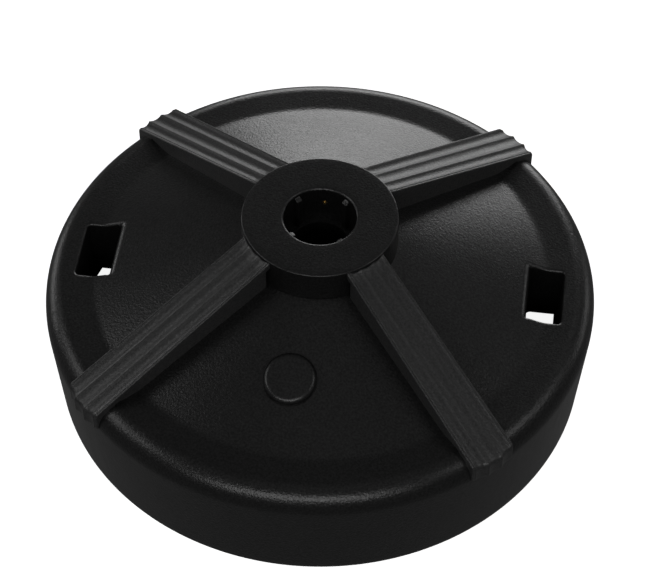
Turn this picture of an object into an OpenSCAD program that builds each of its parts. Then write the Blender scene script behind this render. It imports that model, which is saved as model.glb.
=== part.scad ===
// Fillable parasol base: a round moulded shell weighted with sand, a tall hub that takes the
// pole, and four fluted arms that run from the hub down over the rim.
// Origin: centre of the underside, on the floor. +Z up, +X to the right hand hole,
// -Y to the filling plug. Millimetres and degrees.

/* [Overall] */
// Outer diameter across the shoulder
outer_d = 500; // [490:1:510]
// Height from the floor to the top of the hub
total_h = 189; // [187:1:195]
// Wall thickness of the moulded shell
wall = 4; // [3.5:0.25:4.5]

/* [Shell] */
// Height of the lower edge of the shell above the floor
shell_foot_z = 1; // [0.5:0.5:2]
// Radius of the side wall at its lower edge
shell_foot_r = 244.5; // [242:0.5:246]
// Rounding of the lower edge
foot_edge_r = 2; // [1:0.5:4]
// Radius of the shoulder between the side wall and the flat band
shoulder_r = 20; // [16:1:24]
// Height of the flat band
band_z = 111; // [109:1:113]
// Radius where the cone meets the flat band
band_r = 207; // [204:1:210]
// Height of the level seat under the hub
seat_z = 158; // [156:1:160]

/* [Hub] */
// Outer radius of the hub
hub_r = 69.5; // [68:0.5:71]
// Thickness of the top plate of the hub
hub_plate = 5; // [4:0.5:6]
// Rounding of the top outer edge
hub_edge_r = 1.5; // [1:0.5:2]
// Radius of the pole mouth
mouth_r = 32; // [31.5:0.5:33]
// Rounding of the mouth's lip
lip_r = 3; // [2:0.2:3.4]
// Radial wall of the socket under the mouth
socket_wall = 4; // [3.5:0.5:4.5]
// Height of the lower end of the socket wall
socket_z = 143; // [141:1:145]
// Width of each grip rib in the mouth
rib_w = 5.5; // [4:0.5:7]
// How far each grip rib stands into the mouth
rib_reach = 4.4; // [3.5:0.1:4.5]
// Drop from the hub's top to the full height of a rib
rib_lead = 5; // [3:1:8]

/* [Pole tube] */
// Inner radius, for poles up to 50 mm
tube_bore_r = 26; // [25.5:0.5:26.5]
// Wall of the tube
tube_wall = 4; // [3:0.5:5]
// Height of the ledge where the tube ends inside the mouth
ledge_z = 151; // [149:1:153]

/* [Arms] */
// Direction of the front right arm, counted from +X
arm_fr_a = 313.5; // [311:0.5:317]
// Direction of the front left arm
arm_fl_a = 222.5; // [220:0.5:227]
// Direction of the rear left arm
arm_rl_a = 136.5; // [133:0.5:139]
// Direction of the rear right arm
arm_rr_a = 49; // [43:0.5:50]
// Width of an arm at the hub
arm_hub_w = 39.5; // [38:0.5:41]
// Width of an arm at the rim
arm_rim_w = 44; // [42:0.5:46]
// Height of an arm's ridges at the hub
arm_hub_z = 186; // [184:0.5:187]
// Height of an arm's ridges where they bend over the rim
arm_rim_z = 110.5; // [110:0.5:112]
// Furthest reach of an arm's end face
arm_reach = 255.5; // [255:0.5:257]
// Radius of the end face's curve, seen from above
arm_end_r = 55; // [50:1:80]
// Height of the lower edge of the end face
arm_hem_z = 92; // [90:1:95]
// Outer radius of the bend over the rim
arm_bend_r = 5; // [4:0.5:6]
// Thickness of the fluted top
arm_t = 5.4; // [5:0.2:5.8]
// Width of each flute
flute_w = 14; // [13.5:0.1:14]
// Depth of each flute
flute_d = 1.6; // [1.2:0.1:2.4]
// Thickness of the webs under the fluted top
web_t = 3; // [2.5:0.5:3.5]
// How far each web stands in from the edge above it
web_inset = 1.5; // [1:0.5:2]

/* [Hand holes] */
// Distance from the axis to the middle of a hand hole
hand_r = 204.5; // [203.5:0.5:205.5]
// Radial size of a hand hole
hand_w = 31; // [28:1:34]
// Size of a hand hole along the rim
hand_l = 60; // [56:1:64]
// Rounding of a hand hole's corners
hand_corner_r = 5; // [4:1:7]
// Wall round a hand hole
hand_wall = 3; // [2.5:0.5:3.5]
// Height where a hand hole opens into its finger recess
grip_z = 53; // [48:1:56]
// Outer radius of the finger recess
recess_r = 233; // [231:1:234]
// Half length of the finger recess along the rim
recess_half_l = 70; // [66:1:72]

/* [Filling plug] */
// Direction of the filling plug, counted from +X
port_a = 267; // [265:0.5:272]
// Distance from the axis to the filling plug
port_r = 141; // [139:0.5:143]
// Radius of the plug's cap
cap_r = 23.8; // [23:0.2:25]
// Height of the plug's cap
cap_h = 6; // [5:0.5:7]
// Bore radius of the filling neck
neck_r = 18; // [17.5:0.5:18.5]

/* [Set screw] */
// Height of the set screw's axis
screw_z = 171.5; // [171:0.5:172]
// Radius of the pad that presses on the pole
pad_r = 2.4; // [2:0.1:2.6]
// How far the screw can drive the pad into the mouth
pad_travel = 5; // [4:0.5:5]

/* [Underside] */
// Thickness of the bottom pan
pan_t = 4; // [3.5:0.5:4.5]
// Number of screws that hold the pan to the shell
pan_screw_n = 8; // [8:4:8]
// Number of rubber feet
foot_n = 6; // [6:1:6]
// Radius of a rubber foot
foot_pad_r = 14; // [12:1:15]

/* [Hidden] */

$fn = 96;
eps = 0.01;                 // overlap that keeps cuts clean
fit = 0.15;                 // gap between parts that are assembled face to face
run = 0.05;                 // radial clearance of a turning or sliding fit
far = 400;                  // longer than anything that is cut
bite = 1;                   // how far joined shapes of one moulding run into each other
screw_gap = 0.5;            // radial clearance of a screw through a hole

side_r = outer_d / 2;
shoulder_c = side_r - shoulder_r;
shoulder_z = band_z - shoulder_r;
wall_lean = atan((side_r - shell_foot_r) / shoulder_z);
cone_a = atan((seat_z - band_z) / (band_r - hub_r));

pan_lift = 2.5;             // underside of the pan above the shell's lower edge
pan_gap = 1;                // gap round the pan
pan_z = shell_foot_z + pan_lift;
pan_top_z = pan_z + pan_t;
pan_r = shell_foot_r - wall - pan_gap;

socket_r = mouth_r + socket_wall;
tube_r = tube_bore_r + tube_wall;

arm_root = hub_r + fit;     // an arm starts at the hub's wall
arm_bend_x = arm_reach - arm_bend_r;
arm_a = atan((arm_hub_z - arm_rim_z) / (arm_bend_x - hub_r));
arm_end_x = arm_reach - arm_end_r;
flute_r = (flute_w * flute_w / 4 + flute_d * flute_d) / (2 * flute_d);
flute_land = 0.2;           // ridge left between two flutes at the rim
flute_hub_y = (arm_hub_w - flute_w - flute_land) / 2;
flute_rim_y = flute_w + flute_land;
arm_as = [arm_fr_a, arm_fl_a, arm_rl_a, arm_rr_a];

recess_margin = 4;          // how far a finger recess reaches in past its hand hole
recess_in_r = hand_r - hand_w / 2 - recess_margin;
recess_t = 3;               // walls of a finger recess
recess_roof_t = 3.5;
recess_top = grip_z - fit;

boss_r = 6;                 // bosses that take screws
thread_r = 2;               // screws of the arms and the pan
arm_screw_rs = [100, 188];
arm_screw_l = 9.5;          // how far an arm screw stands above the cone
screw_head_r = 4.5;
pan_boss_c = 231;           // distance from the axis to the pan's screws
pan_boss_h = 18;
foot_c = 200;               // distance from the axis to the feet
foot_stud_r = 4;
foot_stud_l = 3;            // length of a foot's stud above the pan

neck_wall = 4;
neck_l = 14;
stem_gap = 1.5;             // radial gap between the plug's stem and the neck
stem_r = neck_r - stem_gap;
groove_z = -8;              // middle of the seal's groove, below the cone's surface
seal_r = 1.55;              // radius of the seal's round section
groove_r = stem_r - 1.8;    // floor of the seal's groove

insert_r = 5;               // threaded insert of the set screw
insert_y = [52, 68.5];
screw_thread_r = 3;
screw_l = 25;
pad_y = mouth_r + 0.3;      // the pad starts just behind the mouth's wall
pad_l = socket_wall + pad_travel + 0.2;
nose_r = 1.2;               // round nose of the set screw, held in the pad's back
nose_l = 3;

plastic = "#1d1d1f";
steel = "#8d9196";
brass = "#b08d4a";
black_rubber = "#131313";
sand = "#b9a37c";

// Height of the cone's surface at radius r
function cone_z(r) = band_z + (band_r - r) * tan(cone_a);

// Height of an arm's ridges at distance x from the axis
function ridge_z(x) = arm_rim_z + (arm_bend_x - x) * tan(arm_a);

// Points of an arc round [x, y], from angle a0 to a1
function arc(x, y, r, a0, a1, n = 8) =
    [for (i = [0 : n]) let (a = a0 + (a1 - a0) * i / n) [x + r * cos(a), y + r * sin(a)]];

// Half section of the shell's outline moved in by t, with its lower end at z0
module dome_section(t, z0) {
    shift = t * tan(cone_a / 2);
    r = shoulder_r - t;
    top = [shoulder_c + r * cos(wall_lean), shoulder_z - r * sin(wall_lean)];
    polygon([[0, z0], [top[0] - (top[1] - z0) * tan(wall_lean), z0], top,
        [shoulder_c, shoulder_z], [shoulder_c, band_z - t], [band_r - shift, band_z - t],
        [hub_r - shift, seat_z - t], [0, seat_z - t]]);
    translate([shoulder_c, shoulder_z]) circle(r = r);
}

// The solid inside the shell's outline moved in by t
module dome(t, z0) {
    rotate_extrude() dome_section(t, z0);
}

// Ring between two radii and two heights
module ring(r_in, r_out, z0, z1) {
    translate([0, 0, z0]) difference() {
        cylinder(r = r_out, h = z1 - z0);
        translate([0, 0, -eps]) cylinder(r = r_in, h = z1 - z0 + 2 * eps);
    }
}

// Upright cylinder between two heights
module post(r, z0, z1) {
    translate([0, 0, z0]) cylinder(r = r, h = z1 - z0);
}

// Rectangle with round corners, centred
module round_rect(w, l, r) {
    square([w - 2 * r, l], center = true);
    square([w, l - 2 * r], center = true);
    for (x = [-1, 1], y = [-1, 1]) translate([x * (w / 2 - r), y * (l / 2 - r)]) circle(r = r);
}

// Both hand holes as prisms from z0 to z1, grown by g
module hand_prisms(g, z0, z1) {
    for (a = [0, 180]) rotate([0, 0, a]) translate([hand_r, 0, z0]) linear_extrude(z1 - z0)
        round_rect(hand_w + 2 * g, hand_l + 2 * g, hand_corner_r + g);
}

// Both finger recesses as prisms from z0 to z1, grown by g
module recess_prisms(g, z0, z1) {
    for (a = [0, 180]) rotate([0, 0, a]) intersection() {
        translate([recess_in_r - g, -recess_half_l - g, z0])
            cube([far, 2 * (recess_half_l + g), z1 - z0]);
        post(recess_r + g, z0 - 1, z1 + 1);
    }
}

// Places children on the cone, with +Z along its outward normal
module on_cone(a, r) {
    rotate([0, 0, a]) translate([r, 0, cone_z(r)]) rotate([0, cone_a, 0]) children();
}

// Places children at every arm screw
module at_arm_screws() {
    for (a = arm_as, r = arm_screw_rs) on_cone(a, r) children();
}

// Places children n times round the axis at radius r
module round_axis(n, r) {
    for (i = [0 : n - 1]) rotate([0, 0, 360 / n * (i + 0.5)]) translate([r, 0, 0]) children();
}

// Turns children so that +Z points along +Y, on the set screw's axis, starting at y
module on_screw_axis(y) {
    translate([0, y, screw_z]) rotate([-90, 0, 0]) children();
}

// Round-headed screw with a cross slot, its shank pointing up from z = 0
module screw(head_h, shank_l) {
    slot_w = 1.2;
    slot_l = 5.4;
    difference() {
        post(screw_head_r, -head_h, 0);
        for (a = [0, 90]) rotate([0, 0, a]) translate([0, 0, -head_h])
            cube([slot_l, slot_w, head_h], center = true);
    }
    post(thread_r, -eps, shank_l);
}

module top_shell() {
    boss_top_z = pan_top_z + pan_boss_h;
    blind = 2;              // solid end of a boss above its screw
    color(plastic) difference() {
        union() {
            rotate_extrude() difference() {
                intersection() {
                    dome_section(0, shell_foot_z);
                    union() {
                        translate([0, shell_foot_z + foot_edge_r]) square([far, far]);
                        square([shell_foot_r - foot_edge_r, far]);
                        translate([shell_foot_r - foot_edge_r, shell_foot_z + foot_edge_r])
                            circle(r = foot_edge_r);
                    }
                }
                dome_section(wall, 0);
            }
            intersection() {
                union() {
                    hand_prisms(hand_wall, grip_z, band_z + wall);
                    round_axis(pan_screw_n, pan_boss_c) post(boss_r, pan_top_z + fit, boss_top_z);
                    round_axis(pan_screw_n, pan_boss_c) translate([0, -boss_r / 2, pan_top_z + fit])
                        cube([far, boss_r, pan_boss_h - fit]);
                }
                dome(bite, 0);
            }
        }
        hand_prisms(0, 0, total_h);
        post(socket_r + fit, socket_z, total_h);
        on_cone(port_a, port_r) post(neck_r + neck_wall + fit, -neck_l, neck_l);
        at_arm_screws() post(thread_r + screw_gap, -2 * wall, 2 * wall);
        round_axis(pan_screw_n, pan_boss_c) post(thread_r + run, 0, boss_top_z - blind);
    }
}

module bottom_pan() {
    cup_t = 3;
    cup_h = 16;
    color(plastic) difference() {
        union() {
            post(pan_r, pan_z, pan_top_z);
            recess_prisms(recess_t, pan_z, recess_top);
            post(tube_r + fit + cup_t, pan_z, pan_top_z + cup_h);
        }
        post(tube_r + fit, pan_top_z, far);
        recess_prisms(0, 0, recess_top - recess_roof_t);
        hand_prisms(0, 0, far);
        round_axis(pan_screw_n, pan_boss_c) post(thread_r + screw_gap, 0, far);
        round_axis(foot_n, foot_c) post(foot_stud_r + run, 0, far);
    }
}

module ballast() {
    gap = 0.5;              // to the shell, the pan and the hand holes
    fill_z = 140;           // the sand stops below the lock ring
    tube_gap = 5;
    neck_gap = 6;
    boss_gap = 1;
    head_gap = 3.5;         // round the arm screws' heads
    head_depth = 5;
    stud_gap = 3;
    color(sand) difference() {
        intersection() {
            dome(wall + gap, 0);
            post(far, pan_top_z + gap, fill_z);
        }
        hand_prisms(hand_wall + gap, 0, far);
        recess_prisms(recess_t + gap, 0, grip_z + gap);
        post(tube_r + tube_gap, 0, far);
        on_cone(port_a, port_r) post(neck_r + neck_wall + neck_gap, -neck_l - neck_gap, far);
        at_arm_screws() post(thread_r + head_gap, -wall - head_depth, far);
        round_axis(pan_screw_n, pan_boss_c) translate([-boss_r - boss_gap, -boss_r - boss_gap, 0])
            cube([far, 2 * (boss_r + boss_gap), pan_top_z + pan_boss_h + boss_gap]);
        round_axis(foot_n, foot_c) post(foot_stud_r + stud_gap, 0, pan_top_z + foot_stud_l + stud_gap);
    }
}

module hub_collar() {
    skin = 4;               // outer wall of the hub
    brace_n = 8;
    brace_t = 3;
    insert_wall = 3.5;      // plastic round the threaded insert
    tunnel_gap = 0.3;       // radial gap round the set screw behind the insert
    press_gap = 0.02;       // radial play of the pressed-in insert
    seat = seat_z + fit;
    color(plastic) difference() {
        union() {
            rotate_extrude() {
                translate([mouth_r + lip_r, total_h - hub_plate])
                    square([hub_r - hub_edge_r - mouth_r - lip_r, hub_plate]);
                translate([mouth_r + lip_r, total_h - lip_r]) circle(r = lip_r);
                translate([hub_r - hub_edge_r, total_h - hub_edge_r]) circle(r = hub_edge_r);
                translate([mouth_r, socket_z]) square([socket_wall, total_h - lip_r - socket_z]);
                translate([hub_r - skin, seat]) square([skin, total_h - hub_edge_r - seat]);
            }
            for (i = [0 : brace_n - 1]) rotate([0, 0, 360 / brace_n * (i + 0.5)])
                translate([socket_r - bite, -brace_t / 2, seat])
                    cube([hub_r - socket_r - bite, brace_t, total_h - hub_plate / 2 - seat]);
            on_screw_axis(mouth_r + bite)
                cylinder(r = insert_r + insert_wall, h = hub_r - mouth_r - 2 * bite);
            for (a = arm_as) rotate([0, 0, a]) grip_rib();
        }
        on_screw_axis(0) cylinder(r = pad_r + run, h = socket_r + eps);
        on_screw_axis(socket_r)
            cylinder(r = screw_thread_r + tunnel_gap, h = insert_y[0] - socket_r + eps);
        on_screw_axis(insert_y[0]) cylinder(r = insert_r + press_gap, h = hub_r);
    }
}

// Upright rib inside the mouth, with a sloping top that leads the pole in
module grip_rib() {
    drop = 0.6;             // from the lip's rounding to the rib's upper end
    r_in = mouth_r - rib_reach;
    top = total_h - lip_r - drop;
    foot = ledge_z + fit;
    translate([0, rib_w / 2, 0]) rotate([90, 0, 0]) linear_extrude(rib_w)
        polygon([[r_in, foot], [mouth_r + bite, foot],
            [mouth_r + bite, top + bite * rib_lead / rib_reach], [r_in, top - rib_lead]]);
}

module collar_lock_ring() {
    ring_h = 7;
    ring_t = 12;
    notch_n = 6;
    notch_r = 3;
    top = seat_z - wall - fit;
    color(plastic) difference() {
        ring(socket_r + fit, socket_r + ring_t, top - ring_h, top);
        round_axis(notch_n, socket_r + ring_t) post(notch_r, 0, far);
    }
}

module pole_tube() {
    stop_h = 4;             // flange under the hub's socket
    stop_inset = 1;
    color(plastic) difference() {
        union() {
            post(tube_r, pan_top_z + fit, ledge_z);
            post(mouth_r - fit, socket_z - fit, ledge_z);
            post(socket_r - stop_inset, socket_z - stop_h, socket_z - fit);
        }
        post(tube_bore_r, 0, far);
    }
}

// Plan outline of an arm, moved in by t
module arm_plan(t) {
    w0 = arm_hub_w / 2 - t;
    w1 = arm_rim_w / 2 - t;
    r = arm_end_r - t;
    flare = (w1 - w0) / (arm_bend_x - hub_r);
    half = asin(w1 / r);
    polygon(concat([[0, w0 - hub_r * flare], [0, -w0 + hub_r * flare]],
        arc(arm_end_x, 0, r, -half, half, 12)));
}

// Everything between z0 and the plane of an arm's ridges lowered by drop
module under_ridges(drop, z0) {
    translate([0, far / 2, 0]) rotate([90, 0, 0]) linear_extrude(far)
        polygon([[0, z0], [0, ridge_z(0) - drop], [far, ridge_z(far) - drop], [far, -far]]);
}

// Waste outside the rounded upper edge of an arm's end face
module arm_edge_waste() {
    crest = 1.5;            // top of the rounding above the ridges' bend
    top = arm_rim_z + crest;
    r = arm_end_r - arm_bend_r;
    intersection() {
        translate([arm_end_x, 0, 0]) rotate_extrude() difference() {
            translate([r, top - arm_bend_r]) square([2 * arm_bend_r, 3 * arm_bend_r]);
            translate([r, top - arm_bend_r]) circle(r = arm_bend_r);
        }
        translate([shoulder_c, -far / 2, 0]) cube([far, far, far]);
    }
}

// Troughs that shape the flutes along an arm and down its end face
module flute_waste() {
    lift = flute_r - flute_d;
    splay = atan((flute_rim_y - flute_hub_y) / (arm_bend_x - hub_r));
    overrun = 20;
    for (i = [-1 : 1]) {
        translate([arm_bend_x, i * flute_rim_y, arm_rim_z]) rotate([0, arm_a - 90, i * splay])
            translate([lift, 0, -overrun]) cylinder(r = flute_r, h = arm_reach);
        translate([arm_end_x, 0, 0]) rotate([0, 0, i * asin(flute_rim_y / arm_end_r)])
            translate([arm_end_r + lift, 0, 0]) cylinder(r = flute_r, h = far);
    }
}

module arm(a) {
    tip_gap = 0.5;          // beyond the end of each screw
    color(plastic) rotate([0, 0, a]) difference() {
        intersection() {
            translate([0, 0, arm_hem_z]) linear_extrude(total_h) arm_plan(0);
            under_ridges(0, 0);
            union() {
                difference() {
                    under_ridges(0, 0);
                    under_ridges(arm_t / cos(arm_a), -eps);
                }
                translate([shoulder_c, -far / 2, 0]) cube([far, far, far]);
                linear_extrude(total_h) difference() {
                    arm_plan(web_inset);
                    arm_plan(web_inset + web_t);
                }
                for (r = arm_screw_rs) on_cone(0, r) post(boss_r, 0, total_h);
            }
        }
        arm_edge_waste();
        flute_waste();
        post(arm_root, 0, far);
        dome(-fit, 0);
        for (r = arm_screw_rs) on_cone(0, r) post(thread_r + run, -bite, arm_screw_l + tip_gap);
    }
}

module arm_front_right() { arm(arm_fr_a); }
module arm_front_left() { arm(arm_fl_a); }
module arm_rear_left() { arm(arm_rl_a); }
module arm_rear_right() { arm(arm_rr_a); }

module arm_screws() {
    head_h = 3;
    color(steel) at_arm_screws() translate([0, 0, -wall - fit]) screw(head_h, arm_screw_l + wall);
}

module pan_screws() {
    head_h = 2.2;
    head_gap = 0.1;         // between the head and the pan
    tip_gap = 5;            // from the screw's end to the top of its boss
    color(steel) round_axis(pan_screw_n, pan_boss_c) translate([0, 0, pan_z - head_gap])
        screw(head_h, pan_t + pan_boss_h - tip_gap);
}

module fill_neck() {
    flange_w = 5;
    flange_t = 3;
    flange_z = -wall - 2;   // top of the flange, below the cone's surface
    rim_drop = 0.2;         // the neck ends this far below the cone's surface
    color(plastic) on_cone(port_a, port_r) {
        ring(neck_r, neck_r + neck_wall, -neck_l, -rim_drop);
        ring(neck_r, neck_r + neck_wall + flange_w, flange_z - flange_t, flange_z);
    }
}

module rubber_feet() {
    bulge = 0.6;            // barb that holds the stud above the pan
    step = 1;               // height and width of the step round the sole
    pan_play = 0.05;        // between the foot and the pan's underside
    barb_gap = 0.1;         // between the barb and the pan's upper side
    color(black_rubber) round_axis(foot_n, foot_c) {
        post(foot_pad_r - step, 0, step);
        post(foot_pad_r, step, pan_z - pan_play);
        post(foot_stud_r, pan_z - pan_play - eps, pan_top_z + foot_stud_l);
        translate([0, 0, pan_top_z + barb_gap])
            cylinder(r1 = foot_stud_r + bulge, r2 = foot_stud_r, h = foot_stud_l - barb_gap);
    }
}

module fill_plug() {
    seat = 0.3;             // gap between the cap and the cone
    edge = 4;               // rounding of the cap's rim
    dome_rise = 1.2;
    stem_l = 12;
    stem_wall = 5;
    groove_play = 0.4;
    cup_r = stem_r - stem_wall;
    groove_h = 2 * seal_r + groove_play;
    cap_top = seat + cap_h - dome_rise;
    color(plastic) on_cone(port_a, port_r) rotate_extrude() difference() {
        polygon(concat([[0, -stem_l], [stem_r, -stem_l], [stem_r, seat], [cap_r, seat]],
            arc(cap_r - edge, cap_top - edge, edge, 0, 80, 8), [[0, seat + cap_h]]));
        translate([0, -stem_l - eps]) square([cup_r, stem_l]);
        translate([groove_r, groove_z - groove_h / 2]) square([neck_r, groove_h]);
    }
}

module plug_seal() {
    floor_gap = 0.1;        // between the seal and the floor of its groove
    color(black_rubber) on_cone(port_a, port_r) rotate_extrude()
        translate([groove_r + seal_r + floor_gap, groove_z]) circle(r = seal_r);
}

module screw_insert() {
    groove_y = [4, 9];      // grooves round the insert that hold it in the plastic
    groove_w = 1.2;
    groove_d = 0.6;
    color(brass) on_screw_axis(insert_y[0]) difference() {
        cylinder(r = insert_r, h = insert_y[1] - insert_y[0]);
        translate([0, 0, -eps]) cylinder(r = screw_thread_r + run, h = far);
        for (y = groove_y) translate([0, 0, y]) difference() {
            cylinder(r = insert_r + eps, h = groove_w);
            cylinder(r = insert_r - groove_d, h = groove_w);
        }
    }
}

module screw_pad() {
    tip_r = 1;              // small hollow in the pad's face
    tip_h = 1.2;
    end_gap = 0.3;          // beyond the screw's nose
    color(brass) on_screw_axis(pad_y) difference() {
        cylinder(r = pad_r, h = pad_l);
        translate([0, 0, -eps]) cylinder(r = tip_r, h = tip_h);
        translate([0, 0, pad_l - nose_l - end_gap]) cylinder(r = nose_r + run, h = far);
    }
}

module set_screw() {
    key_r = 1.75;
    key_l = 4;
    pad_gap = 0.05;         // between the screw's shoulder and the pad's back
    color(steel) on_screw_axis(pad_y + pad_l + pad_gap) difference() {
        union() {
            cylinder(r = screw_thread_r, h = screw_l);
            translate([0, 0, -nose_l]) cylinder(r = nose_r, h = nose_l + eps);
        }
        translate([0, 0, screw_l - key_l]) cylinder(r = key_r, h = far, $fn = 6);
    }
}

top_shell();
bottom_pan();
ballast();
hub_collar();
collar_lock_ring();
pole_tube();
arm_front_right();
arm_front_left();
arm_rear_left();
arm_rear_right();
arm_screws();
fill_neck();
pan_screws();
rubber_feet();
screw_insert();
fill_plug();
plug_seal();
screw_pad();
set_screw();
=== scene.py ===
"""Looks of a fillable parasol base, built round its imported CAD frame. Metres in Blender; the
shapes below are worked out in millimetres, in the frame's axes, and scaled as they are built."""

import math

import bmesh
import bpy
from mathutils import Matrix, Vector


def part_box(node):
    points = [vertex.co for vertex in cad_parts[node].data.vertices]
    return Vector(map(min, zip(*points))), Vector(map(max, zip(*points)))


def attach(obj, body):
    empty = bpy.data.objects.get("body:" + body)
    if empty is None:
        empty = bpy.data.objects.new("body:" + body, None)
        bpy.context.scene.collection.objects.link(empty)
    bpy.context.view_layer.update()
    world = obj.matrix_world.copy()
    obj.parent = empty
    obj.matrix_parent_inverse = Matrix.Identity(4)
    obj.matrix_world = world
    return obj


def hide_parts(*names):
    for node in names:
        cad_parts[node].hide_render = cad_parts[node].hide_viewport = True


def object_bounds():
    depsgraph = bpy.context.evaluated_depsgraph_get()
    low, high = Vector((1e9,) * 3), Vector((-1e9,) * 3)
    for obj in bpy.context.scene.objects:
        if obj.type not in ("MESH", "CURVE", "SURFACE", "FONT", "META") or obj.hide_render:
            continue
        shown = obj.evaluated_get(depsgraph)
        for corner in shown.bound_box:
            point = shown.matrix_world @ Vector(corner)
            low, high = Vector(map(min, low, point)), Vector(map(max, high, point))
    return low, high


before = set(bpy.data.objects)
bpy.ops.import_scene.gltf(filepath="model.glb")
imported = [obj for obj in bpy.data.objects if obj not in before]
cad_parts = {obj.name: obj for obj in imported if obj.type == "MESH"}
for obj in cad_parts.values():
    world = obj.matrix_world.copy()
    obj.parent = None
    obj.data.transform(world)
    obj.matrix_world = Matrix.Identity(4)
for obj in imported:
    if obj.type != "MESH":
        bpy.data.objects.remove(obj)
cad_low, cad_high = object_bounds()

MM = 0.001


def cad_box(node):
    """Lowest and highest corner of a CAD node, in millimetres."""
    low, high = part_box(node)
    return low / MM, high / MM


# ---------------------------------------------------------------- sizes, in millimetres

HUB_TOP = round(cad_box("hub_collar")[1].z, 1)
HUB_R = round(cad_box("hub_collar")[1].x, 1)
OUTER_R = round(cad_box("top_shell")[1].x)
SHELL_FOOT_Z = round(cad_box("top_shell")[0].z, 1)

WALL = 4
SHOULDER_R = 20
SHOULDER_C = OUTER_R - SHOULDER_R
BAND_Z = 111
BAND_R = 207
BAND_BLEND = 3.5        # half width of the soft crease between the cone and the flat band
SEAT_Z = 158
FOOT_R = 244.5
FOOT_EDGE_R = 2
MOUTH_R = 32
SOCKET_Z = 143
SOCKET_HOLE_R = 36.15   # the shell's opening round the hub's socket
SEAT_RING_R = 52        # a ring in the middle of the seat under the hub
SHOULDER_Z = BAND_Z - SHOULDER_R
WALL_LEAN = math.atan((OUTER_R - FOOT_R) / SHOULDER_Z)
CONE_SLOPE = (SEAT_Z - BAND_Z) / (BAND_R - HUB_R)
CONE_A = math.atan(CONE_SLOPE)

HAND_R = 204.5
HAND_W = 31
HAND_L = 60
HAND_CORNER_R = 3.5
HAND_WALL = 3
HAND_WALL_TOP_Z = BAND_Z - 14       # where a hand hole's lip has ended and its straight wall begins
HAND_LIP_R = 3.0        # rounding of a hand hole's lip, and its extra towards the cone
HAND_LIP_EXTRA = 6
HAND_DRAFT = 5          # how far the wall under the rim leans in at its foot
GRIP_Z = 53

ARM_ANGLES = {"arm_front_right": 313.5, "arm_front_left": 222.5, "arm_rear_left": 136.5,
              "arm_rear_right": 49}
ARM_HUB_W = 39.5
ARM_RIM_W = 44
ARM_HUB_Z = 186
ARM_RIM_Z = 110.5
ARM_REACH = 255.5
ARM_END_R = 55
ARM_BEND_R = 5
ARM_HEM_Z = 92
ARM_T = 5.4
FLUTE_D = 1.6
FIT = 0.15              # gap left where one moulding sits on another

PORT_A = 267
PORT_R = 141
CAP_R = 23.8
CAP_H = 6
STEM_R = 16.5


def lerp(a, b, t):
    return a + (b - a) * t


def steps(a, b, n):
    """n + 1 evenly spaced values from a to b."""
    return [lerp(a, b, i / n) for i in range(n + 1)]


def smooth(t):
    """0 up to t = 0, 1 from t = 1, and a soft step between."""
    t = min(max(t, 0), 1)
    return t * t * (3 - 2 * t)


def arc(x, y, r, start, end, n):
    """n + 1 points of an arc round (x, y), from one angle to another in degrees."""
    return [(x + r * math.cos(math.radians(a)), y + r * math.sin(math.radians(a)))
            for a in steps(start, end, n)]


def direction(degrees):
    """Unit vector in plan."""
    return Vector((math.cos(math.radians(degrees)), math.sin(math.radians(degrees))))


def surface_z(r, depth=0.0):
    """Height of the shell's upper surface at radius r, or of the surface that much under it."""
    shift = depth * math.tan(CONE_A / 2)
    over = BAND_R - shift - r
    seat = SEAT_Z - depth
    if over <= -BAND_BLEND:
        rise = 0.0
    elif over < BAND_BLEND:
        rise = CONE_SLOPE * (over + BAND_BLEND) ** 2 / (4 * BAND_BLEND)
    else:
        rise = CONE_SLOPE * over
    return min(BAND_Z - depth + rise, seat)


def on_cone(degrees, r):
    """Matrix that stands things on the cone, with +Z along its outward normal."""
    z = BAND_Z + CONE_SLOPE * (BAND_R - r)
    return (Matrix.Rotation(math.radians(degrees), 4, "Z") @ Matrix.Translation((r, 0, z))
            @ Matrix.Rotation(CONE_A, 4, "Y"))


# ---------------------------------------------------------------- mesh building

SHARP_A = 40            # degrees between faces, over which an edge is sharp


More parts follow.
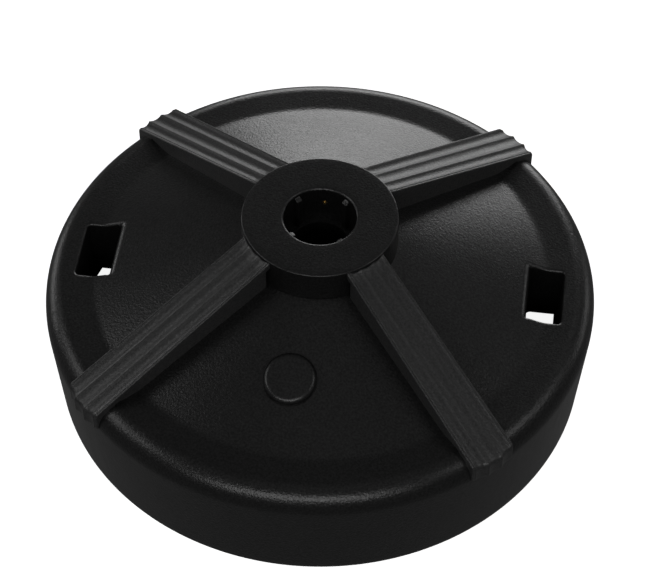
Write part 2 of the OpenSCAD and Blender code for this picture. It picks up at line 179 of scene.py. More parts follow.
class Shape:
    """Points and faces of one piece, in millimetres."""

    def __init__(self):
        self.points = []
        self.faces = []

    def row(self, points):
        """Adds points and gives back their numbers."""
        first = len(self.points)
        self.points += [Vector(p) for p in points]
        return list(range(first, len(self.points)))

    def join(self, a, b):
        """Quads between two closed rows of the same length."""
        count = len(a)
        for i in range(count):
            j = (i + 1) % count
            self.faces.append((a[i], a[j], b[j], b[i]))

    def loft(self, rows, ends=False):
        """Joins each closed row to the next, and closes the two ends if asked."""
        for a, b in zip(rows, rows[1:]):
            self.join(a, b)
        if ends:
            self.faces += [tuple(rows[0]), tuple(rows[-1])]

    def ring(self, r, z, count):
        """A level row of points round the Z axis."""
        return self.row([(r * math.cos(2 * math.pi * i / count),
                          r * math.sin(2 * math.pi * i / count), z) for i in range(count)])

    def revolve(self, profile, count):
        """Turns (r, z) points round the Z axis; an end point on the axis becomes a single point."""
        rows = [self.row([(0, 0, z)]) if r < 1e-6 else self.ring(r, z, count) for r, z in profile]
        for a, b in zip(rows, rows[1:]):
            if len(a) == 1 or len(b) == 1:
                tip, rim = (a[0], b) if len(a) == 1 else (b[0], a)
                self.faces += [(tip, rim[i], rim[(i + 1) % count]) for i in range(count)]
            else:
                self.join(a, b)

    def move(self, matrix, first=0):
        """Moves the points from number first on."""
        self.points[first:] = [matrix @ p for p in self.points[first:]]

    def build(self, name, body, material, nodes):
        """Makes the piece, smooth but for its sharp edges, riding on a body in place of CAD nodes."""
        mesh = bpy.data.meshes.new(name)
        mesh.from_pydata([p * MM for p in self.points], [], self.faces)
        work = bmesh.new()
        work.from_mesh(mesh)
        bmesh.ops.remove_doubles(work, verts=work.verts, dist=1e-6)
        bmesh.ops.recalc_face_normals(work, faces=work.faces)
        work.to_mesh(mesh)
        work.free()
        mesh.shade_smooth()
        mesh.set_sharp_from_angle(angle=math.radians(SHARP_A))
        mesh.materials.append(material)
        piece = bpy.data.objects.new(name, mesh)
        bpy.context.scene.collection.objects.link(piece)
        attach(piece, body)
        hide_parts(*nodes)


# ---------------------------------------------------------------- materials


class Nodes:
    """A material's node tree, with its Principled shader ready."""

    def __init__(self, name, **values):
        self.material = bpy.data.materials.new(name)
        self.material.use_nodes = True
        self.tree = self.material.node_tree
        self.shader = self.tree.nodes["Principled BSDF"]
        for socket, value in values.items():
            self.shader.inputs[socket.replace("_", " ")].default_value = value
        self.place = self.tree.nodes.new("ShaderNodeTexCoord").outputs["Object"]

    def add(self, kind, inputs=None, **settings):
        """Adds a node, with each input linked to a socket or set to a value."""
        made = self.tree.nodes.new(kind)
        for key, value in settings.items():
            setattr(made, key, value)
        for key, value in (inputs or {}).items():
            if isinstance(value, bpy.types.NodeSocket):
                self.tree.links.new(value, made.inputs[key])
            else:
                made.inputs[key].default_value = value
        return made

    def noise(self, scale, detail=3.0, stretch=None):
        place = self.place
        if stretch:
            place = self.add("ShaderNodeMapping", {"Vector": place, "Scale": stretch}).outputs[0]
        return self.add("ShaderNodeTexNoise",
                        {"Vector": place, "Scale": scale, "Detail": detail}).outputs["Fac"]

    def ramp(self, factor, low, high, low_value, high_value):
        """Maps a factor between low and high to a value or a colour."""
        if isinstance(low_value, (int, float)):
            return self.add("ShaderNodeMapRange", {"Value": factor, "From Min": low, "From Max": high,
                            "To Min": low_value, "To Max": high_value}).outputs["Result"]
        made = self.add("ShaderNodeValToRGB", {"Fac": factor})
        for element, place, colour in zip(made.color_ramp.elements, (low, high),
                                          (low_value, high_value)):
            element.position = place
            element.color = (*colour, 1)
        return made.outputs["Color"]

    def bump(self, height, depth_mm, onto=None):
        """Raises the surface by up to depth_mm, on top of another bump if one is given."""
        inputs = {"Height": height, "Distance": depth_mm * MM, "Strength": 1.0}
        if onto is not None:
            inputs["Normal"] = onto
        return self.add("ShaderNodeBump", inputs).outputs["Normal"]

    def link(self, socket, output):
        self.tree.links.new(output, self.shader.inputs[socket])


def moulded_plastic(name, dark, light, roughness, grain_mm):
    """Black plastic with a fine moulded grain, slight flow marks and a little dust and handling wear."""
    made = Nodes(name)
    grain = made.noise(650, 2.0)
    pores = made.add("ShaderNodeTexVoronoi", {"Vector": made.place, "Scale": 420.0}).outputs["Distance"]
    flow = made.noise(9, 4.0)
    specks = made.noise(520, 2.0)
    scuffs = made.noise(30, 6.0, (1, 6, 1))
    made.link("Base Color", made.ramp(specks, 0.3, 0.72, dark, light))
    sheen = made.ramp(specks, 0.3, 0.7, 0.38, 0.6)
    shine = made.ramp(pores, 0.0, 0.2, 0.75, 1.0)
    made.link("Specular IOR Level",
              made.add("ShaderNodeMath", {0: sheen, 1: shine}, operation="MULTIPLY").outputs[0])
    patchy = made.add("ShaderNodeMath", {0: flow, 1: scuffs}, operation="ADD").outputs[0]
    made.link("Roughness", made.ramp(patchy, 0.6, 1.4, roughness - 0.03, roughness + 0.04))
    normal = made.bump(pores, grain_mm * 0.5)
    made.link("Normal", made.bump(grain, grain_mm, onto=normal))
    return made.material


def metal(name, colour, roughness, turned_mm):
    """Plated or turned metal with fine tool marks."""
    made = Nodes(name, Metallic=1.0)
    marks = made.noise(1400, 2.0, (1, 8, 1))
    tarnish = made.noise(160, 4.0)
    dull = tuple(c * 0.7 for c in colour)
    made.link("Base Color", made.ramp(tarnish, 0.35, 0.7, dull, colour))
    made.link("Roughness", made.ramp(tarnish, 0.3, 0.7, roughness, roughness + 0.15))
    made.link("Normal", made.bump(marks, turned_mm))
    return made.material


def rubber(name):
    """Matt black rubber with a fine, dusty texture."""
    made = Nodes(name)
    made.link("Base Color", made.ramp(made.noise(400, 3.0), 0.3, 0.7, (0.012,) * 3, (0.026,) * 3))
    made.link("Roughness", made.ramp(made.noise(60, 3.0), 0.3, 0.7, 0.7, 0.85))
    made.link("Normal", made.bump(made.noise(1100, 2.0), 0.05))
    return made.material


def loose_sand(name):
    """Grains of mixed pale and darker sand."""
    made = Nodes(name, Roughness=0.95)
    grains = made.add("ShaderNodeTexVoronoi", {"Vector": made.place, "Scale": 1100.0})
    made.link("Base Color", made.ramp(grains.outputs["Color"], 0.2, 0.8, (0.33, 0.24, 0.13),
                                      (0.62, 0.5, 0.32)))
    made.link("Normal", made.bump(grains.outputs["Distance"], 0.5))
    return made.material


BLACK_DARK = (0.004,) * 3
BLACK_LIGHT = (0.007,) * 3
shell_plastic = moulded_plastic("shell_plastic", BLACK_DARK, BLACK_LIGHT, 0.3, 0.22)
hub_plastic = moulded_plastic("hub_plastic", BLACK_DARK, BLACK_LIGHT, 0.3, 0.2)
arm_plastic = moulded_plastic("arm_plastic", (0.018,) * 3, (0.028,) * 3, 0.38, 0.16)
plug_plastic = moulded_plastic("plug_plastic", BLACK_DARK, BLACK_LIGHT, 0.33, 0.07)
pan_plastic = moulded_plastic("pan_plastic", (0.003,) * 3, (0.008,) * 3, 0.42, 0.09)
inner_plastic = moulded_plastic("inner_plastic", (0.003,) * 3, (0.007,) * 3, 0.45, 0.07)
zinc_steel = metal("zinc_steel", (0.55, 0.56, 0.58), 0.28, 0.02)
brass = metal("brass", (0.72, 0.54, 0.27), 0.25, 0.02)
foot_rubber = rubber("foot_rubber")
seal_rubber = rubber("seal_rubber")
sand = loose_sand("sand")

# ---------------------------------------------------------------- shell

SHELL_COLUMNS = 360
PATCH_CELLS = 24        # cells along each side of the patch round a hand hole
PATCH_IN_R = 174
PATCH_OUT_R = SHOULDER_C - 0.5
PATCH_HALF_A = 12       # degrees, one column a degree
CORNER_CELLS = PATCH_CELLS // 4


def hand_outline(grow):
    """Points of a hand hole's outline moved out by grow, each with its outward direction, in plan.
    They start at the corner nearest -X, -Y and take PATCH_CELLS cells a side, like the patch."""
    x, y = HAND_W / 2 - HAND_CORNER_R, HAND_L / 2 - HAND_CORNER_R
    corners = [Vector(c) for c in ((-x, -y), (-x, y), (x, y), (x, -y))]
    r = HAND_CORNER_R + grow
    straight = PATCH_CELLS - 2 * CORNER_CELLS
    outline = []
    for side in range(4):
        start, end = corners[side], corners[(side + 1) % 4]
        out_a = 180 - 90 * side
        half = [45 * i / CORNER_CELLS for i in range(CORNER_CELLS)]
        outline += [(start, direction(out_a + 45 - a)) for a in half]
        outline += [(start.lerp(end, i / straight), direction(out_a)) for i in range(straight)]
        outline += [(end, direction(out_a - a)) for a in half]
    return [(Vector((HAND_R, 0)) + centre + r * out, out) for centre, out in outline]


def lip_rows(shape, turn):
    """Rows of a hand hole's rounded lip, from the shell's surface over and down to the wall."""
    rows = []
    count = 9
    outline = hand_outline(0)
    for k in range(count + 1):
        points = []
        for foot, out in outline:
            r = HAND_LIP_R + HAND_LIP_EXTRA * smooth(-out.x)
            z0 = surface_z(foot.length)
            slope = (surface_z((foot + r * out).length) - z0) / r
            z = z0 + slope * r - r * math.hypot(1, slope)
            a = lerp(math.atan2(1, -slope), math.pi, k / count)
            plan = foot + out * r * (1 + math.cos(a))
            points.append(turn @ Vector((*plan, z + r * math.sin(a))))
        rows.append(shape.row(points))
    return rows


def shell_sheet(shape, depth, tail):
    """One skin of the shell: from the hub's opening out to the end of tail, with the hand holes' edge
    rows left open. Gives back the opening's row, the last row and each hole's row."""
    rs = [SOCKET_HOLE_R, SEAT_RING_R, HUB_R - depth * math.tan(CONE_A / 2)]
    rs += steps(HUB_R + 0.5, PATCH_IN_R, 14)
    first = len(rs) - 1
    rs += steps(PATCH_IN_R, PATCH_OUT_R, PATCH_CELLS)[1:]
    last = len(rs) - 1
    profile = [(r, surface_z(r, depth)) for r in rs] + tail
    inside = {}
    for i in range(first + 1, last):
        for c in range(1 - PATCH_HALF_A, PATCH_HALF_A):
            inside[i, c % SHELL_COLUMNS] = inside[i, (c + 180) % SHELL_COLUMNS] = True
    grid = []
    for i, (r, z) in enumerate(profile):
        wanted = [c for c in range(SHELL_COLUMNS) if (i, c) not in inside]
        made = shape.row([(*(r * direction(c)), z) for c in wanted])
        grid.append(dict(zip(wanted, made)))
    for i in range(len(profile) - 1):
        for c in range(SHELL_COLUMNS):
            d = (c + 1) % SHELL_COLUMNS
            in_patch = first <= i < last and any(
                (c - centre + PATCH_HALF_A) % SHELL_COLUMNS < 2 * PATCH_HALF_A for centre in (0, 180))
            if not in_patch:
                shape.faces.append((grid[i][c], grid[i][d], grid[i + 1][d], grid[i + 1][c]))
    holes = []
    for centre in (0, 180):
        turn = Matrix.Rotation(math.radians(centre), 3, "Z")
        low, high = centre - PATCH_HALF_A, centre + PATCH_HALF_A
        edge = [grid[first][c % SHELL_COLUMNS] for c in range(low, high)]
        edge += [grid[i][high % SHELL_COLUMNS] for i in range(first, last)]
        edge += [grid[last][c % SHELL_COLUMNS] for c in range(high, low, -1)]
        edge += [grid[i][low % SHELL_COLUMNS] for i in range(last, first, -1)]
        rows = [edge]
        if depth:
            inner = [turn @ Vector((*p, surface_z(p.length, depth)))
                     for p, _ in hand_outline(HAND_WALL)]
            lip = [shape.row(inner)]
        else:
            lip = lip_rows(shape, turn)
        for t in (0.3, 0.6, 0.85):
            points = []
            for a, b in zip(edge, lip[0]):
                plan = shape.points[a].lerp(shape.points[b], t)
                points.append((plan.x, plan.y, surface_z(math.hypot(plan.x, plan.y), depth)))
            rows.append(shape.row(points))
        shape.loft(rows + lip)
        holes.append((turn, lip[-1]))
    return list(grid[0].values()), list(grid[-1].values()), holes


def make_shell():
    """The dome: outer and inner skin, joined at the hub's opening, the foot and the hand holes."""
    shape = Shape()
    lean = math.degrees(WALL_LEAN)
    foot_c = (FOOT_R - FOOT_EDGE_R, SHELL_FOOT_Z + FOOT_EDGE_R)
    outer_tail = arc(SHOULDER_C, SHOULDER_Z, SHOULDER_R, 90, -lean, 20)
    foot = arc(*foot_c, FOOT_EDGE_R, -lean, -88, 6)
    outer_tail += [tuple(Vector(outer_tail[-1]).lerp(Vector(foot[0]), i / 12)) for i in range(1, 12)]
    outer_tail += foot
    inner_tail = arc(SHOULDER_C, SHOULDER_Z, SHOULDER_R - WALL, 90, -lean, 20)
    top_r, top_z = inner_tail[-1]
    low = (top_r - (top_z - SHELL_FOOT_Z) * math.tan(WALL_LEAN), SHELL_FOOT_Z)
    inner_tail += [tuple(Vector((top_r, top_z)).lerp(Vector(low), i / 17)) for i in range(1, 18)]
    mouth_out, rim_out, holes_out = shell_sheet(shape, 0, outer_tail)
    mouth_in, rim_in, holes_in = shell_sheet(shape, WALL, inner_tail)
    shape.join(mouth_out, mouth_in)
    shape.join(rim_out, rim_in)
    for (turn, lip), (_, inner) in zip(holes_out, holes_in):
        rows = [lip]
        wall = [(0, z) for z in steps(HAND_WALL_TOP_Z, GRIP_Z + 1, 5)]
        for grow, z in wall + [(0.3, GRIP_Z + 0.3), (1, GRIP_Z)]:
            draft = HAND_DRAFT * (HAND_WALL_TOP_Z - z) / (HAND_WALL_TOP_Z - GRIP_Z)
            rows.append(shape.row([turn @ Vector((*(p - out * draft * smooth(out.x)), z))
                                   for p, out in hand_outline(grow)]))
        rows.append(shape.row([turn @ Vector((*p, GRIP_Z)) for p, _ in hand_outline(HAND_WALL)]))
        shape.loft(rows + [inner])
    shape.build("dome_shell", "base", shell_plastic, ["top_shell"])


# ---------------------------------------------------------------- hub

HUB_COLUMNS = 240
HUB_EDGE_R = 1.5
LIP_R = 3
HUB_FOOT_Z = SEAT_Z + FIT
SCREW_Z = round(cad_box("set_screw")[0].z + 3, 1)
PAD_HOLE_R = 2.45
INSERT_HOLE_R = 5.02
INSERT_Y = round(cad_box("screw_insert")[0].y, 1)
RIB_W = 5.5
RIB_REACH = 4.4
RIB_LEAD = 2            # height over which a rib's top slopes back
RIB_EDGE_R = 0.9
TUNNEL_R = 3.3          # hollow between the pad's hole and the insert
SCREW_PATCH = 7         # half height of the patch round the screw's hole
RIB_FOOT_Z = round(cad_box("pole_tube")[1].z, 1) + FIT


def wall_with_hole(shape, r, zs, hole_r, cells):
    """An upright round wall at radius r, rows at zs, with a round hole towards +Y at the screw's height.
    The hole's patch takes the rows between the second and the last but one. Gives back first row, last
    row and the hole's row."""
    middle = HUB_COLUMNS // 4
    first, last = 1, 1 + cells
    grid = []
    for i, z in enumerate(zs):
        wanted = [c for c in range(HUB_COLUMNS)
                  if not (first < i < last and abs(c - middle) < cells // 2)]
        made = shape.row([(*(r * direction(360 * c / HUB_COLUMNS)), z) for c in wanted])
        grid.append(dict(zip(wanted, made)))
    low, high = middle - cells // 2, middle + cells // 2
    for i in range(len(zs) - 1):
        for c in range(HUB_COLUMNS):
            d = (c + 1) % HUB_COLUMNS
            if not (first <= i < last and low <= c < high):
                shape.faces.append((grid[i][c], grid[i][d], grid[i + 1][d], grid[i + 1][c]))
    edge = [grid[first][c] for c in range(low, high)]
    edge += [grid[i][high] for i in range(first, last)]
    edge += [grid[last][c] for c in range(high, low, -1)]
    edge += [grid[i][low] for i in range(last, first, -1)]

    def round_row(radius):
        points = []
        for number in edge:
            p = shape.points[number]
            a = math.atan2(p.z - SCREW_Z, p.x)
            x, z = radius * math.cos(a), SCREW_Z + radius * math.sin(a)
            points.append((x, math.sqrt(r * r - x * x), z))
        return shape.row(points)

    rows = [edge, round_row(hole_r * 1.35), round_row(hole_r * 1.12), round_row(hole_r)]
    shape.loft(rows)
    return list(grid[0].values()), list(grid[-1].values()), rows[-1]


def grip_rib(shape, degrees):
    """Upright rib in the mouth, round at its edges, whose top slopes back into the lip."""
    edge = RIB_EDGE_R
    root = MOUTH_R + 1.5
    top = HUB_TOP - LIP_R - 0.6
    levels = [(RIB_FOOT_Z, RIB_REACH - 0.5), (RIB_FOOT_Z + 0.5, RIB_REACH)]
    levels += [(z, RIB_REACH) for z in steps(RIB_FOOT_Z + 1, top - RIB_LEAD - 1.2, 6)]
    levels += [(top - RIB_LEAD, RIB_REACH - 0.35), (top - RIB_LEAD / 2, RIB_REACH / 2),
               (top, 0.15), (top + 1, -1)]
    rows = []
    first = len(shape.points)
    for z, reach in levels:
        x = MOUTH_R - reach
        half = RIB_W / 2
        section = [(root, -half)]
        section += arc(x + edge, -half + edge, edge, 270, 180, 5)
        section += arc(x + edge, half - edge, edge, 180, 90, 5)
        section += [(root, half)]
        rows.append(shape.row([(*p, z) for p in section]))
    shape.loft(rows, ends=True)
    shape.move(Matrix.Rotation(math.radians(degrees), 4, "Z"), first)


def make_hub():
    """The hub: mouth with its lip and ribs, flat top, outer wall and the set screw's tunnel."""
    shape = Shape()
    cells = 12
    patch = steps(SCREW_Z - SCREW_PATCH, SCREW_Z + SCREW_PATCH, cells)
    inner = wall_with_hole(shape, MOUTH_R, [SOCKET_Z + 0.5, *patch, HUB_TOP - LIP_R], PAD_HOLE_R, cells)
    low = HUB_FOOT_Z + 0.4
    outer = wall_with_hole(shape, HUB_R, [low, *patch, HUB_TOP - HUB_EDGE_R], INSERT_HOLE_R, cells)
    lip = arc(MOUTH_R + LIP_R, HUB_TOP - LIP_R, LIP_R, 180, 90, 8)[1:]
    edge = arc(HUB_R - HUB_EDGE_R, HUB_TOP - HUB_EDGE_R, HUB_EDGE_R, 90, 0, 6)[:-1]
    flat = [(r, HUB_TOP) for r in steps(MOUTH_R + LIP_R, HUB_R - HUB_EDGE_R, 6)[1:-1]]
    rows = [shape.ring(r, z, HUB_COLUMNS) for r, z in lip + flat + edge]
    shape.loft([inner[1]] + rows + [outer[1]])
    under = [(HUB_R - 0.4, HUB_FOOT_Z), (MOUTH_R + WALL, HUB_FOOT_Z), (MOUTH_R + WALL, SOCKET_Z),
             (MOUTH_R + 0.5, SOCKET_Z)]
    rows = [shape.ring(r, z, HUB_COLUMNS) for r, z in under]
    shape.loft([outer[0]] + rows + [inner[0]])
    tunnel = []
    for r, y in ((PAD_HOLE_R, MOUTH_R + WALL), (TUNNEL_R, MOUTH_R + WALL), (TUNNEL_R, INSERT_Y),
                 (INSERT_HOLE_R, INSERT_Y)):
        points = []
        for number in inner[2]:
            p = shape.points[number]
            a = math.atan2(p.z - SCREW_Z, p.x)
            points.append((r * math.cos(a), y, SCREW_Z + r * math.sin(a)))
        tunnel.append(shape.row(points))
    shape.loft([inner[2]] + tunnel + [outer[2]])
    for degrees in ARM_ANGLES.values():
        grip_rib(shape, degrees)
    shape.build("pole_hub", "base", hub_plastic, ["hub_collar"])


# ---------------------------------------------------------------- arms

ARM_ROOT = HUB_R + FIT
ARM_BEND_X = ARM_REACH - ARM_BEND_R
ARM_SLOPE = (ARM_HUB_Z - ARM_RIM_Z) / (ARM_BEND_X - HUB_R)
ARM_A = math.atan(ARM_SLOPE)
ARM_END_C = ARM_REACH - ARM_END_R
ROOT_RISE = 1.3         # how far the slope lifts where it meets the hub
BEAD_W = 2.0            # round bead along each edge, and the groove inside it
GROOVE_W = 0.8
RIDGE_Y = 7.1           # ridges between the middle flute and the outer two


def arm_section():
    """(share of the half width, depth under the ridges) across an arm, from one edge to the other."""
    half = ARM_RIM_W / 2
    flute_end = half - BEAD_W - GROOVE_W

    def flute(a, b, depth, n):
        mid, reach = (a + b) / 2, (b - a) / 2
        radius = (reach ** 2 + depth ** 2) / (2 * depth)
        return [(y, math.sqrt(radius ** 2 - (y - mid) ** 2) - (radius - depth)) for y in steps(a, b, n)]

    bead = [(half + (BEAD_W / 2) * (math.cos(a) - 1), (BEAD_W / 2) * (1 - math.sin(a)))
            for a in (math.radians(x) for x in (125, 100, 80, 55, 30, 0))]
    side = [(RIDGE_Y - 0.12, 0.02), (RIDGE_Y + 0.12, 0.02)]
    side += flute(RIDGE_Y, flute_end, FLUTE_D, 12)[1:]
    side += [(flute_end + 0.15, 0.12), (flute_end + GROOVE_W / 2, 0.4), (flute_end + GROOVE_W - 0.05, 0.3)]
    side += bead
    centre = flute(-RIDGE_Y, RIDGE_Y, FLUTE_D, 12)[1:-1]
    mirrored = [(-y, d) for y, d in reversed(side)]
    return [(y / half, d) for y, d in mirrored + centre + side]


def arm_half(x):
    """Half the width of an arm at distance x from the axis."""
    return lerp(ARM_HUB_W, ARM_RIM_W, min((x - HUB_R) / (ARM_BEND_X - HUB_R), 1)) / 2


def ridge_z(x):
    """Height of an arm's ridges at distance x from the axis."""
    return ARM_RIM_Z + (ARM_BEND_X - x) * ARM_SLOPE


def arm_top(share, depth, root):
    """Points down one line of an arm's outer face: the slope, the bend, the end face and its hem."""
    y_rim = share * ARM_RIM_W / 2
    x_end = ARM_END_C + math.sqrt(ARM_END_R ** 2 - y_rim ** 2) - depth
    corner = Vector((x_end, ridge_z(x_end) - depth / math.cos(ARM_A)))
    along = Vector((math.cos(ARM_A), -math.sin(ARM_A)))
    start = corner - ARM_BEND_R * math.tan((math.pi / 2 - ARM_A) / 2) * along
    centre = start - ARM_BEND_R * Vector((math.sin(ARM_A), math.cos(ARM_A)))
    path = []
    for x in steps(root, start.x, 20):
        path.append((x, ridge_z(x) - depth / math.cos(ARM_A)))
    z = path[0][1]
    path[0:1] = [(root, z + ROOT_RISE), (root + 0.25, z + ROOT_RISE * 0.45),
                 (root + 0.8, z + ROOT_RISE * 0.12), (root + 1.8, z - 0.7)]
    path += arc(*centre, ARM_BEND_R, 90 - math.degrees(ARM_A), 0, 7)[1:]
    hem = ARM_HEM_Z + 0.15 * depth
    path += [(x_end, z) for z in steps(centre.y, hem + 0.8, 4)[1:]]
    path += [(x_end - 0.25, hem + 0.2), (x_end - 0.8, hem)]
    return [(x, share * arm_half(x), z) for x, z in path]


def arm_under(share, root, count):
    """Points up one line of an arm's inner face, as many as the outer face has."""
    y_rim = share * ARM_RIM_W / 2
    path = []
    slope_n = 23
    for x in steps(root, SHOULDER_C, slope_n):
        z = max(ridge_z(x) - ARM_T / math.cos(ARM_A), surface_z(x) + FIT)
        path.append((x, z))
    over = arc(SHOULDER_C, SHOULDER_Z, SHOULDER_R + FIT, 90, 3, count - slope_n - 1)[1:]
    for r, z in over:
        path.append((math.sqrt(r * r - y_rim ** 2), max(z, ARM_HEM_Z)))
    return [(x, share * arm_half(x), z) for x, z in path]


def make_arm(node):
    """One fluted arm, from the hub down the cone and over the rim, with two stiffening ribs below."""
    shape = Shape()
    section = arm_section()
    lines = []
    for share, depth in section:
        root = math.sqrt(ARM_ROOT ** 2 - (share * ARM_HUB_W / 2) ** 2)
        top = arm_top(share, depth, root)
        lines.append((top, arm_under(share * 0.998, root, len(top))))
    rows = []
    for k in range(len(lines[0][0])):
        over = [top[k] for top, _ in lines]
        below = [under[k] for _, under in reversed(lines)]
        rows.append(shape.row(over + below))
    shape.loft(rows)
    width = len(lines)
    for row in (rows[0], rows[-1]):
        for i in range(width - 1):
            shape.faces.append((row[i], row[i + 1], row[-2 - i], row[-1 - i]))
    inset, thick = 1.5, 3
    for side in (-1, 1):
        rows = []
        for x in steps(ARM_ROOT + 0.3, SHOULDER_C + 1, 30):
            outer, inner = arm_half(x) - inset, arm_half(x) - inset - thick
            top = ridge_z(x) - ARM_T / math.cos(ARM_A) + 1.2
            foot = surface_z(math.hypot(x, outer)) + FIT
            rows.append(shape.row([(x, side * outer, top), (x, side * inner, top),
                                   (x, side * inner, foot), (x, side * outer, foot)]))
        shape.loft(rows, ends=True)
    shape.move(Matrix.Rotation(math.radians(ARM_ANGLES[node]), 4, "Z"))
    shape.build(node.replace("arm", "fluted_arm"), "base", arm_plastic, [node])


# ---------------------------------------------------------------- filling plug


def make_plug():
    """The filling plug: a cap with a rounded rim, and a hollow stem with a groove for its seal."""
    shape = Shape()
    seat, edge_r, side_top = 0.3, 5.6, 0.5
    groove_in = STEM_R - 1.8
    profile = [(0, CAP_H + seat), (CAP_R * 0.4, CAP_H + seat - 0.05), (CAP_R - edge_r, seat + CAP_H - 0.4)]
    profile += arc(CAP_R - edge_r, seat + CAP_H - 0.4 - edge_r, edge_r, 86, 6, 12)
    profile += [(CAP_R, seat + side_top - 0.4), (CAP_R, seat + 0.3), (CAP_R - 0.3, seat)]
    profile += [(STEM_R + 0.4, seat), (STEM_R, seat - 0.4), (STEM_R, -6.3), (groove_in, -6.3),
                (groove_in, -9.7), (STEM_R, -9.7), (STEM_R, -11.4), (STEM_R - 0.6, -12)]
    profile += [(STEM_R - 4.6, -12), (STEM_R - 5, -11.6), (STEM_R - 5, 0), (0, 0)]
    shape.revolve(profile, 128)
    shape.move(on_cone(PORT_A, PORT_R))
    shape.build("filling_cap", "plug", plug_plastic, ["fill_plug"])


# ---------------------------------------------------------------- rubber feet

FOOT_N = 6
FOOT_C = 200
FOOT_PAD_R = 14
FOOT_STUD_R = 4


def make_feet():
    """Six turned feet with rings round the sole and a barbed stud through the pan."""
    pan_z, pan_top_z = cad_box("bottom_pan")[0].z, cad_box("bottom_pan")[0].z + 4
    top = pan_z - 0.05
    sole = [(0, 0.5), (2.4, 0.5)]
    for r in (3, 6, 9):
        sole += [(r, 0.1), (r + 0.3, 0), (r + 1.7, 0), (r + 2, 0.1), (r + 2.3, 0.5), (r + 2.7, 0.5)]
    sole += [(12.1, 0.1), (12.4, 0), (FOOT_PAD_R - 1, 0), (FOOT_PAD_R - 0.4, 0.25), (FOOT_PAD_R, 0.8),
             (FOOT_PAD_R, top - 0.5), (FOOT_PAD_R - 0.15, top - 0.15), (FOOT_PAD_R - 0.5, top)]
    stud = [(FOOT_STUD_R, top), (FOOT_STUD_R, pan_top_z + 0.1), (FOOT_STUD_R + 0.6, pan_top_z + 0.15),
            (FOOT_STUD_R + 0.55, pan_top_z + 0.5), (FOOT_STUD_R, pan_top_z + 2.9),
            (FOOT_STUD_R - 0.3, pan_top_z + 3), (0, pan_top_z + 3)]
    shape = Shape()
    for i in range(FOOT_N):
        first = len(shape.points)
        shape.revolve(sole + stud, 64)
        shape.move(Matrix.Translation((*(FOOT_C * direction(360 / FOOT_N * (i + 0.5))), 0)), first)
    shape.build("turned_feet", "base", foot_rubber, ["rubber_feet"])


# ---------------------------------------------------------------- the whole object

make_shell()
make_hub()
for arm in ARM_ANGLES:
    make_arm(arm)
make_plug()
make_feet()

CAD_LOOKS = {"bottom_pan": pan_plastic, "ballast": sand, "collar_lock_ring": inner_plastic,
             "pole_tube": inner_plastic, "arm_screws": zinc_steel, "fill_neck": inner_plastic,
             "pan_screws": zinc_steel, "screw_insert": brass,
             "plug_seal": seal_rubber, "screw_pad": brass, "set_screw": zinc_steel}
for node, look in CAD_LOOKS.items():
    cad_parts[node].data.materials.clear()
    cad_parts[node].data.materials.append(look)

# ---------------------------------------------------------------- stage, lights and camera

FLOOR_Z = cad_low.z / MM - 0.02


def stage_mesh(name, shape, material):
    """Links a mesh that stands round the object and is no part of it."""
    mesh = bpy.data.meshes.new(name)
    mesh.from_pydata([p * MM for p in shape.points], [], shape.faces)
    mesh.materials.append(material)
    made = bpy.data.objects.new(name, mesh)
    bpy.context.scene.collection.objects.link(made)
    return made


def make_studio():
    """White floor and surround, seen by the camera alone: it neither lights the object nor mirrors in it."""
    made = Nodes("studio_white", Roughness=0.9)
    made.link("Base Color", made.ramp(made.noise(2, 2.0), 0.3, 0.7, (0.86,) * 3, (0.9,) * 3))
    made.shader.inputs["Emission Color"].default_value = (1, 1, 1, 1)
    made.shader.inputs["Emission Strength"].default_value = 0.9
    shape = Shape()
    size = 30000
    profile = [(0, FLOOR_Z), (size * 0.5, FLOOR_Z), (size * 0.8, FLOOR_Z)]
    profile += arc(size * 0.8, FLOOR_Z + size * 0.3, size * 0.3, -90, 0, 12)
    profile += [(size * 1.1, size), (size * 0.6, size * 1.4), (0, size * 1.5)]
    shape.revolve(profile, 96)
    studio = stage_mesh("studio", shape, made.material)
    studio.data.shade_smooth()
    studio.visible_glossy = False
    studio.visible_diffuse = False
    studio.visible_shadow = False


def make_floor_shade():
    """Dark disc under the base, hidden from the camera, that stops light coming up into the holes."""
    shade = Nodes("floor_shade", Roughness=0.9)
    shade.link("Base Color", shade.ramp(shade.noise(40, 2.0), 0.3, 0.7, (0.02,) * 3, (0.03,) * 3))
    shape = Shape()
    shape.revolve([(0, FLOOR_Z), (80, FLOOR_Z), (160, FLOOR_Z), (FOOT_R - 2, FLOOR_Z)], 96)
    under = stage_mesh("shade_under_base", shape, shade.material)
    under.visible_camera = False
    under.visible_shadow = False


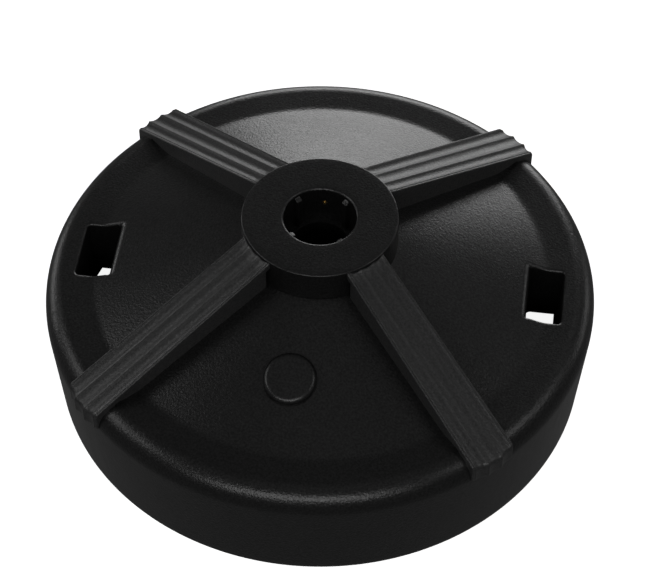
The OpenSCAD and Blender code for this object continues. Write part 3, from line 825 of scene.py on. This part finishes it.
def softbox(name, azimuth, elevation, distance, width, height, radiance):
    """Area light that faces the object. Azimuth 0 is at the camera's side, -Y, and 90 at +X."""
    a, e = math.radians(azimuth), math.radians(elevation)
    back = Vector((math.sin(a) * math.cos(e), -math.cos(a) * math.cos(e), math.sin(e)))
    data = bpy.data.lights.new(name, "AREA")
    data.shape = "RECTANGLE"
    data.size, data.size_y = width, height
    data.energy = radiance * width * height * math.pi
    lamp = bpy.data.objects.new(name, data)
    lamp.location = Vector((0, 0, 0.1)) + back * distance
    lamp.rotation_mode = "QUATERNION"
    lamp.rotation_quaternion = back.to_track_quat("Z", "Y")
    lamp.visible_camera = False
    bpy.context.scene.collection.objects.link(lamp)


def make_lights():
    """Soft lights all round, brightest behind and in front, and a faint even glow from the air."""
    softbox("back_softbox", 176, 10, 2.6, 2.1, 1.0, 3.7)
    softbox("back_right_softbox", 140, 50, 2.6, 0.8, 0.8, 0.25)
    softbox("right_back_softbox", 124, 8, 2.4, 0.8, 0.5, 1.4)
    softbox("right_softbox", 84, 42, 2.4, 1.4, 0.7, 1.5)
    softbox("left_softbox", -86, 40, 2.4, 1.6, 0.8, 1.8)
    softbox("left_back_softbox", -118, 6, 2.4, 1.0, 0.5, 2.4)
    softbox("front_softbox", 0, 36, 2.6, 2.4, 0.7, 3.4)
    softbox("top_softbox", 20, 86, 2.6, 1.2, 1.2, 0.12)
    world = bpy.data.worlds.new("studio_air")
    world.use_nodes = True
    world.node_tree.nodes["Background"].inputs["Color"].default_value = (0.1, 0.1, 0.1, 1)
    bpy.context.scene.world = world


def make_camera():
    """The photograph's view: long lens, high, a little to the right of -Y."""
    frame_w = 661
    azimuth, elevation = math.radians(7.6), math.radians(50.45)
    distance = 1.965
    axis_left_px = 10.5
    focal_px = 2145
    target = Vector((0, 0, 0.0885))
    back = Vector((math.sin(azimuth) * math.cos(elevation), -math.cos(azimuth) * math.cos(elevation),
                   math.sin(elevation)))
    data = bpy.data.cameras.new("view")
    data.sensor_width = 36
    data.lens = focal_px / frame_w * data.sensor_width
    data.shift_x = axis_left_px / frame_w
    camera = bpy.data.objects.new("view", data)
    camera.location = target + distance * back
    camera.rotation_mode = "QUATERNION"
    camera.rotation_quaternion = back.to_track_quat("Z", "Y")
    bpy.context.scene.collection.objects.link(camera)
    bpy.context.scene.camera = camera


make_studio()
make_floor_shade()
make_lights()
make_camera()
bpy.context.scene.view_settings.view_transform = "Standard"
